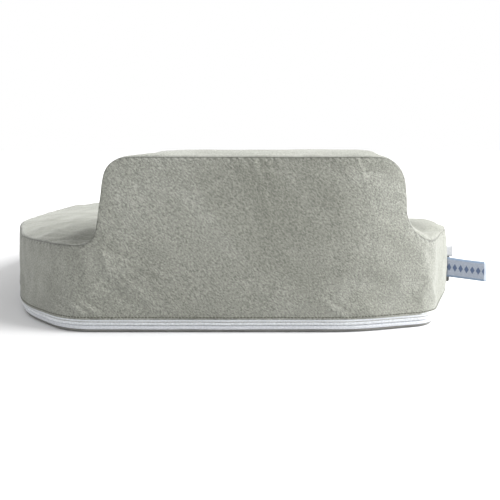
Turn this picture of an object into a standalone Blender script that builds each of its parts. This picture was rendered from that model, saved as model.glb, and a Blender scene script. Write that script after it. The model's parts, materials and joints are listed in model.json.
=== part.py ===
"""Wrap-around nursing pillow: a C-shaped foam cushion with two tall armrests, in a zipped plush cover.

The C opens towards +Y, where a webbing strap with a side-release buckle closes it behind the wearer.
Lengths here are millimetres in the cushion's own frame, +Z up; add_solid turns them into metres. The
cushion is symmetrical about X = 0, the strap is not.
"""

import math

import bmesh
import bpy
from mathutils import Vector

MM = 0.001

# The label reaches further back than the cushion's centre, so the origin lies behind that centre.
ORIGIN_Y = 18.5

# Half of the cushion's outline at the top edge of the zip: corner x, corner y, corner radius. It runs
# from the front centre, round the outer wall and the end of the arm, to the middle of the opening.
HALF_OUTLINE = (
    (0, -227.5, 0),
    (92, -226, 220),
    (225, -182, 150),
    (285, -128, 50),
    (285, 116, 150),
    (262, 183, 30),
    (150, 224, 70),
    (86, 216, 30),
    (139, 93, 180),
    (139, -70, 129),
    (0, -70, 0),
)

# The cover.
SEAM_HEIGHT = 73.4
ARMREST_HEIGHT = 146.0
CLOTH = 2.0
CROWN = 5.0
END_STEP = 12.0
END_BULGE = 4.5
END_LEAN = 1.0
# The armrest in side view: where its front and rear faces stand at the foot and at the top.
FRONT_FOOT_Y, FRONT_TOP_Y = -103.5, -93.5
REAR_FOOT_Y, REAR_TOP_Y = 159.0, 155.5
FRONT_FOOT_RADIUS, FRONT_TOP_RADIUS = 13.0, 19.0
REAR_FOOT_RADIUS, REAR_TOP_RADIUS = 30.0, 26.0
# Where the armrest's faces meet the wall of the opening.
INNER_FRONT_Y, INNER_REAR_Y = -25.0, 158.0

# The foam, which keeps this far behind the cover's outer face.
FOAM_INSET = 4.6
FOAM_BASE_TOP = SEAM_HEIGHT - FOAM_INSET
FOAM_FLOOR = 2.4
GAP = 0.4

# The lower edge: the zip lies on a slope between the wall and the bottom panel.
ZIP_TOP = 12.0
ZIP_INSET, ZIP_FOOT = 2.8, 2.4
TAPE = 0.6
COIL_THICK = 1.6
UPPER_TAPE, UPPER_COIL = (0.4, 3.0), (3.3, 4.3)
LOWER_COIL, LOWER_TAPE = (5.5, 6.5), (6.8, 9.4)
SLIT_MIDDLE = 4.9
BOTTOM_INSET = 5.5
BOTTOM_THICK = 1.8
# How far down the slope the bottom panel's lip and the hem of the opening's wall stand.
BOTTOM_LIP, INNER_HEM = 10.9, 9.3
# Heights at which the walls and the foam have a row of points between foot and top.
WALL_LEVEL = 36.0
FOAM_LEVELS = (20.0, 36.0, 55.0)

# The strap: webbing that leaves the middle of each arm's end, level with the floor.
WEBBING_WIDE, WEBBING_THICK = 28.0, 1.5
STRAP_Z = 31.0
STRAP_CLEAR = 0.8
BUCKLE_WIDE, BUCKLE_THICK = 35.0, 10.5
SOCKET_LONG, SOCKET_X = 31.0, 44.0
PLUG_BASE_LONG, PLUG_X = 18.0, -6.0
PRONG_LONG = 25.0
# The bar that the webbing goes round in each half of the buckle, and the slot beside it.
BAR_LONG, BAR_HALF, SLOT_LONG, WEBBING_TURN = 2.4, 1.0, 6.2, 2.8
ARM_SQUEEZE_WIDE = 3.4
# Reach of a cutter that goes right through the buckle.
THROUGH = 8.0
KEEPER_X, KEEPER_LONG = -36.0, 7.0
TAIL_X = -72.0

# Labels in the seam at the end of the +X arm.
LABEL_LONG, LABEL_HIGH, LABEL_Z, LABEL_DROOP = 40.0, 20.0, 33.0, 5.0
CARE_LONG, CARE_HIGH, CARE_Z = 5.5, 11.0, 49.0

# The slider of the zip, parked at the rear end of the straight stretch on the -X side.
SLIDER_Y, SLIDER_LONG = 57.0, 9.0
PULL_LONG, PULL_WIDE = 19.0, 5.0
# How far the bar that carries the pull stands out of the slope.
BAR_OUT = 4.3

COLOURS = {
    "plush": ((0.47, 0.49, 0.43, 1), 0.95, 0),
    "lining": ((0.62, 0.63, 0.58, 1), 0.9, 0),
    "foam": ((0.86, 0.84, 0.70, 1), 0.9, 0),
    "zip_tape": ((0.78, 0.80, 0.82, 1), 0.8, 0),
    "zip_coil": ((0.86, 0.87, 0.88, 1), 0.45, 0),
    "zip_metal": ((0.82, 0.83, 0.84, 1), 0.35, 0.6),
    "label": ((0.28, 0.38, 0.48, 1), 0.7, 0),
    "care_label": ((0.88, 0.88, 0.88, 1), 0.6, 0),
    "webbing": ((0.10, 0.11, 0.09, 1), 0.85, 0),
    "buckle": ((0.05, 0.055, 0.05, 1), 0.4, 0),
}


# ---- paths ----------------------------------------------------------------------------------------


class RoundedPath:
    """Straight lines joined by arcs, through corners given as (x, y, radius), measured along its length."""

    def __init__(self, corners):
        self.pieces = []
        self.length = 0.0
        here = Vector(corners[0][:2])
        way = Vector(corners[1][:2]) - here
        heading = math.atan2(way.y, way.x)
        for before, corner, after in zip(corners, corners[1:], corners[2:]):
            point = Vector(corner[:2])
            way_in = (point - Vector(before[:2])).normalized()
            way_out = (Vector(after[:2]) - point).normalized()
            turn = math.atan2(way_in.cross(way_out), way_in.dot(way_out))
            reach = corner[2] * math.tan(abs(turn) / 2)
            self.add(here, heading, 0.0, (point - way_in * reach - here).length)
            curvature = math.copysign(1 / corner[2], turn)
            self.add(point - way_in * reach, heading, curvature, corner[2] * abs(turn))
            heading += turn
            here = point + way_out * reach
        self.add(here, heading, 0.0, (Vector(corners[-1][:2]) - here).length)

    def add(self, start, heading, curvature, length):
        self.pieces.append((self.length, start, heading, curvature, length))
        self.length += length

    def at(self, distance):
        """Point and heading at this distance from the start."""
        reached = [piece for piece in self.pieces if piece[0] <= max(distance, 0.0)]
        begins, start, heading, curvature, _ = reached[-1]
        along = distance - begins
        if not curvature:
            return start + along * Vector((math.cos(heading), math.sin(heading))), heading
        angle = heading + curvature * along
        step = Vector((math.sin(angle) - math.sin(heading), math.cos(heading) - math.cos(angle)))
        return start + step / curvature, angle

    def stations(self, arc_step, line_step):
        """Distances that split each arc by angle, in radians, and each line by length."""
        found = []
        for begins, _, _, curvature, length in self.pieces:
            pieces = length * abs(curvature) / arc_step if curvature else length / line_step
            count = max(1, math.ceil(pieces))
            found += [begins + length * i / count for i in range(count)]
        return found + [self.length]

    def find(self, reached, low, high):
        """The distance between low and high at which reached(point, heading) turns true."""
        for _ in range(50):
            middle = (low + high) / 2
            if reached(*self.at(middle)):
                high = middle
            else:
                low = middle
        return high


OUTLINE = RoundedPath(HALF_OUTLINE)
# The end seam is where the arm reaches furthest back.
END_SEAM = OUTLINE.find(lambda _, heading: heading > math.pi, 450, 800)
WIDEST = OUTLINE.find(lambda _, heading: heading > math.pi / 2 - 0.001, 100, 450)


def outer_distance(y):
    return OUTLINE.find(lambda point, _: point.y > y, WIDEST - 200, END_SEAM)


def inner_distance(y):
    return OUTLINE.find(lambda point, _: point.y < y, END_SEAM + 90, OUTLINE.length)


END_OUTER = END_SEAM - 50
END_INNER = END_SEAM + 45
# Pairs of distances on the outer wall and on the opening's wall that face each other.
PARTNERS = (
    (0.0, OUTLINE.length),
    (outer_distance(FRONT_FOOT_Y), inner_distance(INNER_FRONT_Y)),
    (outer_distance(REAR_FOOT_Y), inner_distance(INNER_REAR_Y)),
    (END_OUTER, END_INNER),
)
REAR_FOOT = PARTNERS[2][0]

# The top seam as seen along the wall: distance along the outline, height, corner radius.
SEAM = RoundedPath(
    (
        (0, SEAM_HEIGHT, 0),
        (outer_distance(FRONT_FOOT_Y), SEAM_HEIGHT, FRONT_FOOT_RADIUS),
        (outer_distance(FRONT_TOP_Y), ARMREST_HEIGHT, FRONT_TOP_RADIUS),
        (outer_distance(REAR_TOP_Y), ARMREST_HEIGHT, REAR_TOP_RADIUS),
        (outer_distance(REAR_FOOT_Y), SEAM_HEIGHT, REAR_FOOT_RADIUS),
        (END_OUTER, SEAM_HEIGHT, 0),
    )
)


def limited(value, low, high):
    return min(max(value, low), high)


def partner(distance):
    """The distance on the opening's wall that faces this one on the outer wall."""
    for (outer_a, inner_a), (outer_b, inner_b) in zip(PARTNERS, PARTNERS[1:]):
        if distance <= outer_b:
            break
    return inner_a + (inner_b - inner_a) * (distance - outer_a) / (outer_b - outer_a)


def end_share(distance):
    """1 at the end seam, falling to 0 before the armrest."""
    reach = limited(1 - abs(distance - END_SEAM) / 75, 0, 1)
    return reach * reach * (3 - 2 * reach)


def edge(distance, inset, z):
    """Point of the wall at this distance and height, moved into the cushion by inset."""
    point, heading = OUTLINE.at(distance)
    outward = Vector((math.sin(heading), -math.cos(heading)))
    share = limited((z - ZIP_TOP) / (SEAM_HEIGHT - ZIP_TOP), 0, 1)
    bulge = END_LEAN * share + END_BULGE * 4 * share * (1 - share)
    place = point + outward * (bulge * end_share(distance) - inset)
    return Vector((place.x, place.y, z))


# ---- solids ---------------------------------------------------------------------------------------


def material(name):
    found = bpy.data.materials.get(name)
    if found:
        return found
    colour, roughness, metallic = COLOURS[name]
    made = bpy.data.materials.new(name)
    made.use_nodes = True
    made.diffuse_color = colour
    shader = made.node_tree.nodes["Principled BSDF"]
    shader.inputs["Base Color"].default_value = colour
    shader.inputs["Roughness"].default_value = roughness
    shader.inputs["Metallic"].default_value = metallic
    return made


def add_pivot(name, place, parent):
    """An empty that carries the pieces of one body, at a place in the cushion's frame."""
    pivot = bpy.data.objects.new(name, None)
    pivot.empty_display_size = 0.02
    pivot["place"] = place
    bpy.context.scene.collection.objects.link(pivot)
    pivot.parent = parent
    start = Vector(parent["place"]) if parent else Vector((0, ORIGIN_Y, 0))
    pivot.location = (Vector(place) - start) * MM
    return pivot


def add_solid(name, points, faces, finish, pivot):
    """One closed piece, from points in the cushion's frame."""
    mesh = bpy.data.meshes.new(name)
    place = Vector(pivot["place"])
    mesh.from_pydata([(Vector(point) - place) * MM for point in points], [], faces)
    work = bmesh.new()
    work.from_mesh(mesh)
    bmesh.ops.recalc_face_normals(work, faces=work.faces)
    work.to_mesh(mesh)
    work.free()
    mesh.materials.append(material(finish))
    mesh.shade_smooth()
    mesh.set_sharp_from_angle(angle=math.radians(35))
    piece = bpy.data.objects.new(name, mesh)
    bpy.context.scene.collection.objects.link(piece)
    piece.parent = pivot
    return piece


def add_box(name, low, high, finish, pivot, bevel=0.0):
    """A block between two corners, with rounded edges where a bevel is given."""
    corners = [(x, y, z) for x in (low[0], high[0]) for y in (low[1], high[1]) for z in (low[2], high[2])]
    faces = [(0, 1, 3, 2), (4, 6, 7, 5), (0, 4, 5, 1), (2, 3, 7, 6), (0, 2, 6, 4), (1, 5, 7, 3)]
    piece = add_solid(name, corners, faces, finish, pivot)
    if bevel:
        rounding = piece.modifiers.new("rounding", "BEVEL")
        rounding.width = bevel * MM
        rounding.segments = 2
    return piece


def combine(piece, other, operation):
    """Joins the helper to the piece, or cuts it out, and keeps the helper out of the model."""
    other.hide_render = True
    other.display_type = "WIRE"
    step = piece.modifiers.new(other.name, "BOOLEAN")
    step.operation = operation
    step.object = other


def sweep(name, sections, finish, pivot):
    """A solid through closed sections, which all have the same number of points, with capped ends."""
    size = len(sections[0])
    points = [point for section in sections for point in section]
    faces = [tuple(range(size)), tuple(range(len(points) - size, len(points)))]
    for i in range(len(sections) - 1):
        for j in range(size):
            k = (j + 1) % size
            faces.append((i * size + j, i * size + k, (i + 1) * size + k, (i + 1) * size + j))
    return add_solid(name, points, faces, finish, pivot)


def slab(name, levels, finish, pivot):
    """A solid between a first and a last grid of points, whose edges pass through the levels between."""
    rows, columns = len(levels[0]), len(levels[0][0])
    ring = [(0, j) for j in range(columns)] + [(i, columns - 1) for i in range(1, rows)]
    ring += [(rows - 1, j) for j in range(columns - 2, -1, -1)] + [(i, 0) for i in range(rows - 2, 0, -1)]
    points = [point for row in levels[0] for point in row]
    loops = [[i * columns + j for i, j in ring]]
    for level in levels[1:-1]:
        loops.append([len(points) + n for n in range(len(ring))])
        points += [level[i][j] for i, j in ring]
    top = len(points)
    points += [point for row in levels[-1] for point in row]
    loops.append([top + i * columns + j for i, j in ring])
    faces = []
    for start in (0, top):
        for i in range(rows - 1):
            for j in range(columns - 1):
                corner = start + i * columns + j
                faces.append((corner, corner + 1, corner + columns + 1, corner + columns))
    for lower, upper in zip(loops, loops[1:]):
        for a, b, c, d in zip(lower, lower[1:] + lower[:1], upper[1:] + upper[:1], upper):
            faces.append((a, b, c, d))
    return add_solid(name, points, faces, finish, pivot)


def flipped(points):
    return [Vector((-point[0], point[1], point[2])) for point in points]


def both_sides(rows):
    """Rows of the +X half, which start on the middle plane, with their mirror images before them."""
    return [flipped(row) for row in reversed(rows[1:])] + rows


# ---- surfaces of the cushion ----------------------------------------------------------------------

ACROSS = (0.0, 0.2, 0.5, 0.8, 1.0)


def across(distance, inset, z):
    """Points from the outer wall to the opening, at one height. Behind the armrest they bow to the end."""
    outer, inner = edge(distance, inset, z), edge(partner(distance), inset, z)
    last_outer, last_inner = edge(END_OUTER, inset, z), edge(END_INNER, inset, z)
    bow = limited((distance - REAR_FOOT) / (END_OUTER - REAR_FOOT), 0, 1)
    points = []
    for share in ACROSS:
        end = edge(END_OUTER + (END_INNER - END_OUTER) * share, inset, z)
        points.append(outer.lerp(inner, share) + (end - last_outer.lerp(last_inner, share)) * bow)
    return points


def crown(share, distance):
    """How far the top stands above its seams."""
    middle = math.sin(math.pi * share) ** 0.8
    return CROWN * middle * limited((END_OUTER - distance) / 25, 0, 1)


def top_row(along, inset, sink, height=1.0):
    """Row of the top, sunk below the cover's face, at a distance along the seam's side view."""
    (distance, z), slope = SEAM.at(along)
    middle = across(distance, inset, z)
    ahead = across(min(distance + 1, END_OUTER), inset, z)
    behind = across(max(distance - 1, 0), inset, z)
    row = []
    for share, point, a, b in zip(ACROSS, middle, ahead, behind):
        forward = (a - b).normalized()
        normal = Vector((0, 0, math.cos(slope))) - forward * math.sin(slope)
        row.append(point + normal * (crown(share, distance) * height - sink))
    if distance == 0:
        row = [Vector((0, point.y, point.z)) for point in row]
    return row


def with_end_steps(stations, last):
    """Adds stations before the last one, where the arm's end curves most."""
    return sorted(stations + [last - END_STEP * i for i in (1, 2, 3)])


def seam_stations():
    """Distances along the top seam's side view. In front of the armrest they are the outline's own."""
    front = SEAM.pieces[0][4]
    stops = [stop for stop in OUTLINE.stations(math.radians(14), 40) if stop < front - 8]
    stops += [stop for stop in SEAM.stations(math.radians(20), 26) if stop >= front]
    return with_end_steps(stops, SEAM.length)


def flat_rows(inset, z):
    return both_sides([across(distance, inset, z) for distance in base_stations()])


def base_stations():
    """Distances at which the low parts are sampled, up to the end row."""
    stops = [stop for stop in OUTLINE.stations(math.radians(14), 40) if stop < END_OUTER - 4 * END_STEP]
    return with_end_steps(stops + [END_OUTER], END_OUTER)


def zip_place(distance, down, out):
    """Point on the zip's slope: down from its top edge, and out of its face."""
    length = math.hypot(ZIP_INSET, ZIP_TOP - ZIP_FOOT)
    way = (ZIP_INSET / length, (ZIP_TOP - ZIP_FOOT) / length)
    return edge(distance, way[0] * down - way[1] * out, ZIP_TOP - way[1] * down - way[0] * out)


# ---- the cushion ----------------------------------------------------------------------------------


def make_foam(root):
    levels = [flat_rows(BOTTOM_INSET, FOAM_FLOOR)]
    levels += [flat_rows(FOAM_INSET, z) for z in FOAM_LEVELS]
    levels.append(flat_rows(FOAM_INSET, FOAM_BASE_TOP))
    slab("foam_base", levels, "foam", root)
    bed = FOAM_BASE_TOP + GAP
    rows = [top_row(along, FOAM_INSET, FOAM_INSET) for along in seam_stations()]
    first = min(i for i, row in enumerate(rows) if row[0].z > bed + 2)
    last = max(i for i, row in enumerate(rows) if row[0].z > bed + 2)
    top = rows[first : last + 1]
    bottom = [[Vector((point.x, point.y, bed)) for point in row] for row in top]
    slab("foam_armrest_left", [bottom, top], "foam", root)
    mirrored = [[flipped(row) for row in level] for level in (bottom, top)]
    slab("foam_armrest_right", mirrored, "foam", root)


def make_top_panel(root):
    inside = both_sides([top_row(along, 0, CLOTH) for along in seam_stations()])
    outside = both_sides([top_row(along, 0, 0) for along in seam_stations()])
    slab("cover_top_panel", [inside, outside], "plush", root)


def wall_columns(wall_distance, forward, end, reach):
    """Closed sections of a wall of the cover, from the middle plane to the end seam."""
    below = CLOTH + 2.5 * GAP
    places = []
    for along in seam_stations():
        (distance, z), slope = SEAM.at(along)
        lower = wall_distance(distance) + forward * math.sin(slope) * below
        places.append((lower, z - math.cos(slope) * below))
    steps = [end + (END_SEAM - end) * i / 5 for i in range(1, 6)]
    places += [(distance, SEAM_HEIGHT - below) for distance in steps]
    return [reach(distance, z) for distance, z in places]


def make_walls(root):
    def outer_section(distance, top):
        heights = [ZIP_TOP + GAP, WALL_LEVEL, top]
        outside = [edge(distance, 0, z) for z in heights]
        return outside + [edge(distance, CLOTH, z) for z in reversed(heights)]

    def inner_section(distance, top):
        foot = [zip_place(distance, INNER_HEM, 0.0)]
        outside = [edge(distance, 0, z) for z in (ZIP_TOP, WALL_LEVEL, top)]
        inside = [edge(distance, CLOTH, z) for z in (top, WALL_LEVEL, ZIP_TOP)]
        return foot + outside + inside + [zip_place(distance, INNER_HEM, -1.2)]

    outer = wall_columns(lambda distance: distance, 1, END_OUTER, outer_section)
    inner = wall_columns(partner, -1, END_INNER, inner_section)
    sweep("cover_outer_wall", both_sides(outer), "plush", root)
    sweep("cover_inner_wall", both_sides(inner), "plush", root)


def make_bottom_panel(root):
    rise = zip_place(0, BOTTOM_LIP, 0).z
    inset = -edge(0, 0, rise).y + zip_place(0, BOTTOM_LIP, 0).y
    lower = [flat_rows(BOTTOM_INSET, 0.0), flat_rows(inset, rise)]
    upper = [flat_rows(inset + 1.6, rise + 0.8), flat_rows(BOTTOM_INSET + 0.8, BOTTOM_THICK)]
    slab("cover_bottom_panel", lower + upper, "lining", root)


def make_zip(root):
    stops = [stop for stop in OUTLINE.stations(math.radians(14), 60) if stop < END_SEAM - 3]
    stops.append(END_SEAM - 2)

    def strip(name, down, half, finish):
        middle, half_wide = sum(down) / 2, (down[1] - down[0]) / 2
        shape = [(-1, -1), (-1, 1), (1, 1), (1, -1)]
        if half > TAPE:
            back = [(-1, -0.5), (-1, 0.5), (-0.4, 1), (0.4, 1)]
            shape = back + [(-u, -v) for u, v in back]
        rows = [[zip_place(stop, middle + u * half_wide, v * half) for u, v in shape] for stop in stops]
        sweep(name, both_sides(rows), finish, root)

    strip("zip_upper_tape", UPPER_TAPE, TAPE / 2, "zip_tape")
    strip("zip_upper_coil", UPPER_COIL, COIL_THICK / 2, "zip_coil")
    strip("zip_lower_coil", LOWER_COIL, COIL_THICK / 2, "zip_coil")
    strip("zip_lower_tape", LOWER_TAPE, TAPE / 2, "zip_tape")
    end_stop = outer_distance(SLIDER_Y + SLIDER_LONG / 2 + 2)
    for name, distance, side in (("zip_end_stop", end_stop, -1), ("zip_top_stop", END_SEAM - 6, 1)):
        sections = []
        for stop in (distance, distance + 2.4):
            corners = ((3.6, 1.1), (3.6, 1.9), (6.8, 1.9), (6.8, 1.1))
            row = [zip_place(stop, down, out) for down, out in corners]
            sections.append(flipped(row) if side < 0 else row)
        sweep(name, sections, "zip_metal", root)


# ---- zip slider and pull --------------------------------------------------------------------------


def slope_frame(y):
    """Axes of the zip's slope on the -X side, at this y: along +Y, down the slope and out of it."""
    distance = outer_distance(y)
    start = flipped([zip_place(distance, 0, 0)])[0]
    down = (flipped([zip_place(distance, 1, 0)])[0] - start).normalized()
    out = (flipped([zip_place(distance, 0, 1)])[0] - start).normalized()
    return start, Vector((0, 1, 0)), down, out


def slope_block(name, y_range, down_range, out_range, finish, pivot, bevel=0.0):
    """A block in the axes of the zip's slope."""
    start, along, down, out = slope_frame(SLIDER_Y)
    corners = []
    for a in y_range:
        for b in down_range:
            for c in out_range:
                corners.append(start + along * a + down * b + out * c)
    faces = [(0, 1, 3, 2), (4, 6, 7, 5), (0, 4, 5, 1), (2, 3, 7, 6), (0, 2, 6, 4), (1, 5, 7, 3)]
    piece = add_solid(name, corners, faces, finish, pivot)
    if bevel:
        rounding = piece.modifiers.new("rounding", "BEVEL")
        rounding.width = bevel * MM
        rounding.segments = 2
    return piece


def around(middle, half):
    return middle - half, middle + half


def make_slider(root):
    """The slider: a front and a back plate joined by a post, with two ears and a bar for the pull."""
    start, _, down, out = slope_frame(SLIDER_Y)
    slide = add_pivot("zip_slider_pivot", start, root)
    length, plate = around(0, SLIDER_LONG / 2), (1.8, 8.6)
    slider = slope_block("zip_slider", length, plate, (1.2, 2.2), "zip_metal", slide, 0.4)
    ear_reach = (1.8, BAR_OUT + 0.9)
    parts = (
        ("slider_back", length, plate, (-2.2, -1.2)),
        ("slider_post", (1.0, 3.0), around(SLIT_MIDDLE, 0.35), (-1.6, 1.6)),
        ("slider_ear_low", (-1.2, 1.2), around(SLIT_MIDDLE + 2.5, 0.5), ear_reach),
        ("slider_ear_high", (-1.2, 1.2), around(SLIT_MIDDLE - 2.5, 0.5), ear_reach),
        ("slider_bar", (-0.5, 0.5), around(SLIT_MIDDLE, 2.5), around(BAR_OUT, 0.5)),
    )
    for part in parts:
        combine(slider, slope_block(*part, "zip_metal", slide), "UNION")
    hinge = add_pivot("zip_pull_pivot", start + down * SLIT_MIDDLE + out * BAR_OUT, slide)
    sides, wide = around(SLIT_MIDDLE, 1.7), around(SLIT_MIDDLE, PULL_WIDE / 2)
    thick = around(BAR_OUT, 0.8)
    pull = slope_block("zip_pull", (-1.4, 7), sides, around(BAR_OUT, 1.2), "zip_metal", hinge, 0.25)
    grip = slope_block("pull_grip", (5, PULL_LONG), wide, thick, "zip_metal", hinge)
    hole = slope_block("pull_eye", (-0.8, 0.8), (0, 10), thick, "zip_metal", hinge)
    combine(pull, grip, "UNION")
    combine(pull, hole, "DIFFERENCE")


# ---- strap and buckle -----------------------------------------------------------------------------

SEAM_PLACE = edge(END_SEAM, 0, STRAP_Z)
STRAP_Y = SEAM_PLACE.y + STRAP_CLEAR + WEBBING_THICK + GAP / 2
STRAP_LOW, STRAP_HIGH = STRAP_Z - WEBBING_WIDE / 2, STRAP_Z + WEBBING_WIDE / 2


def webbing(name, route, pivot):
    """Flat webbing on edge along a route of (x, y) points."""
    sections = []
    for i, point in enumerate(route):
        before = Vector(route[max(i - 1, 0)])
        after = Vector(route[min(i + 1, len(route) - 1)])
        way = (after - before).normalized()
        side = Vector((-way.y, way.x)) * WEBBING_THICK / 2
        a, b = Vector(point) + side, Vector(point) - side
        corners = ((a, STRAP_LOW), (a, STRAP_HIGH), (b, STRAP_HIGH), (b, STRAP_LOW))
        sections.append([(corner.x, corner.y, z) for corner, z in corners])
    return sweep(name, sections, "webbing", pivot)


def turn_back(centre, radius, direction):
    """Half circle round a bar, from the -Y side to the +Y side, bulging towards direction on X."""
    points = []
    for i in range(7):
        angle = math.radians(-90 + 30 * i)
        across_bar, beside = radius * math.cos(angle), radius * math.sin(angle)
        points.append((centre[0] + direction * across_bar, centre[1] + beside))
    return points


def strap_box(name, x_range, depth, z_range, pivot, bevel=0.0):
    """A block of plastic on the strap. depth is measured from the strap's middle plane."""
    low = (x_range[0], STRAP_Y + depth[0], z_range[0])
    high = (x_range[1], STRAP_Y + depth[1], z_range[1])
    return add_box(name, low, high, "buckle", pivot, bevel)


def make_socket(root):
    """The short strap on the +X arm with the buckle's socket."""
    hinge = add_pivot("buckle_strap_pivot", (SEAM_PLACE.x, STRAP_Y, STRAP_Z), root)
    bar = (SOCKET_X + SOCKET_LONG - BAR_LONG / 2, STRAP_Y)
    spread = (WEBBING_THICK + GAP) / 2
    inner_layer = [(SEAM_PLACE.x, STRAP_Y - spread), (bar[0] + 6, STRAP_Y - spread)]
    outer_layer = [(bar[0] + 6, STRAP_Y + spread), (SEAM_PLACE.x, STRAP_Y + spread)]
    webbing("buckle_strap", inner_layer + turn_back(bar, WEBBING_TURN, -1) + outer_layer, hinge)
    thick, wide = BUCKLE_THICK / 2, BUCKLE_WIDE / 2
    low, high = STRAP_Z - wide, STRAP_Z + wide
    far = SOCKET_X + SOCKET_LONG
    slot = far - BAR_LONG - SLOT_LONG
    outside = (SOCKET_X, far), (-thick, thick), (low, high)
    socket = strap_box("buckle_socket", *outside, hinge, 1.6)
    mouth, slit = (low + 2.4, high - 2.4), (low + 2.8, high - 2.8)
    cuts = (
        ("socket_mouth", (SOCKET_X - 2, SOCKET_X + 22), (-3.4, 3.4), mouth),
        ("socket_windows", (SOCKET_X + 10, SOCKET_X + 20), (-2.8, 2.8), (low - 2, high + 2)),
        ("socket_slot", (slot, slot + SLOT_LONG), (-THROUGH, THROUGH), slit),
        ("socket_bar_room", (slot + 3, far + 2), (-THROUGH, -BAR_HALF), slit),
        ("socket_bar_room_back", (slot + 3, far + 2), (BAR_HALF, THROUGH), slit),
    )
    for cut in cuts:
        combine(socket, strap_box(*cut, hinge), "DIFFERENCE")


def make_plug(hinge):
    """The plug on the waist strap: a base with a bar, a guide tongue and two springy arms."""
    thick, wide = BUCKLE_THICK / 2 - 0.6, BUCKLE_WIDE / 2
    low, high = STRAP_Z - wide, STRAP_Z + wide
    front = PLUG_X + PLUG_BASE_LONG
    slot = PLUG_X + BAR_LONG
    plug = strap_box("buckle_plug", (PLUG_X, front), (-thick, thick), (low, high), hinge, 1.5)
    tongue_reach = (front - 4, front + PRONG_LONG - 4)
    tongue = strap_box("plug_tongue", tongue_reach, (-1.6, 1.6), around(STRAP_Z, 4), hinge)
    combine(plug, tongue, "UNION")
    slit = (low + 2.8, high - 2.8)
    cuts = (
        ("plug_slot", (slot, slot + SLOT_LONG), (-THROUGH, THROUGH), slit),
        ("plug_bar_room", (PLUG_X - 2, slot + 3), (-THROUGH, -BAR_HALF), slit),
        ("plug_bar_room_back", (PLUG_X - 2, slot + 3), (BAR_HALF, THROUGH), slit),
    )
    for cut in cuts:
        combine(plug, strap_box(*cut, hinge), "DIFFERENCE")
    for name, side in (("upper", 1), ("lower", -1)):
        centre = STRAP_Z + side * (wide - 5.4)
        root_place = (front + 2.4, STRAP_Y, centre)
        pivot = add_pivot("plug_arm_%s_pivot" % name, root_place, hinge)
        half = ARM_SQUEEZE_WIDE / 2
        outline = [
            (front + 0.6, -half),
            (front + PRONG_LONG - 5, -half),
            (front + PRONG_LONG, half * 0.4),
            (front + PRONG_LONG, half + 0.6),
            (front + PRONG_LONG - 7, half + 2.2),
            (front + PRONG_LONG - 9, half),
            (front + 0.6, half),
        ]
        rows = []
        for y in (STRAP_Y - 2.2, STRAP_Y + 2.2):
            rows.append([(x, y, centre + side * up) for x, up in outline])
        sweep("plug_arm_%s" % name, rows, "buckle", pivot)


def make_waist_strap(root):
    hinge = add_pivot("waist_strap_pivot", (-SEAM_PLACE.x, STRAP_Y, STRAP_Z), root)
    bar = (PLUG_X + BAR_LONG / 2, STRAP_Y)
    route = [(-SEAM_PLACE.x, STRAP_Y), (KEEPER_X + KEEPER_LONG + 12, STRAP_Y)]
    tail = [(x, STRAP_Y + WEBBING_THICK + GAP) for x in (route[1][0], TAIL_X)]
    webbing("waist_webbing", route + turn_back(bar, WEBBING_TURN, 1) + tail, hinge)
    make_plug(hinge)
    keeper_pivot = add_pivot("strap_keeper_pivot", (KEEPER_X, STRAP_Y, STRAP_Z), hinge)
    low, high = STRAP_LOW - 2.6, STRAP_HIGH + 2.6
    end = KEEPER_X + KEEPER_LONG
    ring = strap_box("strap_keeper", (KEEPER_X, end), (-2.6, 4.6), (low, high), keeper_pivot, 0.8)
    room_z = (low + 2.2, high - 2.2)
    room = strap_box("keeper_room", (KEEPER_X - 3, end + 3), (-1.2, 3.2), room_z, keeper_pivot)
    combine(ring, room, "DIFFERENCE")


# ---- labels ---------------------------------------------------------------------------------------


def folded_tape(name, start, long, high, droop, thick, layer_gap, finish, root):
    """A tape folded in half, standing on edge, that leaves the seam towards +Y."""
    spread = (thick + layer_gap) / 2
    route = [(-spread, 0.0), (-spread, long - 2)]
    for angle in (math.pi / 3, 2 * math.pi / 3):
        route.append((-spread * math.cos(angle), long - 2 + spread * math.sin(angle)))
    route += [(spread, long - 2), (spread, 0.0)]
    sections = []
    for i, point in enumerate(route):
        before, after = Vector(route[max(i - 1, 0)]), Vector(route[min(i + 1, len(route) - 1)])
        way = (after - before).normalized()
        side = Vector((-way.y, way.x, 0)) * thick / 2
        up = Vector((0, 0, high / 2))
        drop = -droop * max(point[1], 0) / long
        middle = Vector(start) + Vector((point[0], point[1], drop))
        sections.append([middle + side - up, middle + side + up, middle - side + up, middle - side - up])
    return sweep(name, sections, finish, root)


def make_labels(root):
    back = SEAM_PLACE.y + 0.4
    label_start = (SEAM_PLACE.x + 6.5, back, LABEL_Z)
    folded_tape("side_label", label_start, LABEL_LONG, LABEL_HIGH, LABEL_DROOP, 0.6, 0.5, "label", root)
    care_start = (SEAM_PLACE.x + 3.0, back, CARE_Z)
    folded_tape("care_label", care_start, CARE_LONG, CARE_HIGH, 0.0, 0.4, 0.4, "care_label", root)


def main():
    for thing in list(bpy.data.objects):
        bpy.data.objects.remove(thing, do_unlink=True)
    root = add_pivot("nursing_pillow", (0, 0, 0), None)
    make_foam(root)
    make_top_panel(root)
    make_walls(root)
    make_bottom_panel(root)
    make_zip(root)
    make_slider(root)
    make_socket(root)
    make_waist_strap(root)
    make_labels(root)


main()
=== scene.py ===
"""Nursing pillow: the zipped plush cover, its zip, labels, webbing and buckle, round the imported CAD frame.

Shapes are worked out in millimetres in the cushion's own frame, as the CAD does, and placed in the row
frame in metres by row_place.
"""

import json
import math

import bmesh
import bpy
import numpy as np
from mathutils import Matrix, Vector, kdtree, noise
from mathutils.bvhtree import BVHTree
from mathutils.geometry import delaunay_2d_cdt


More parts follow.
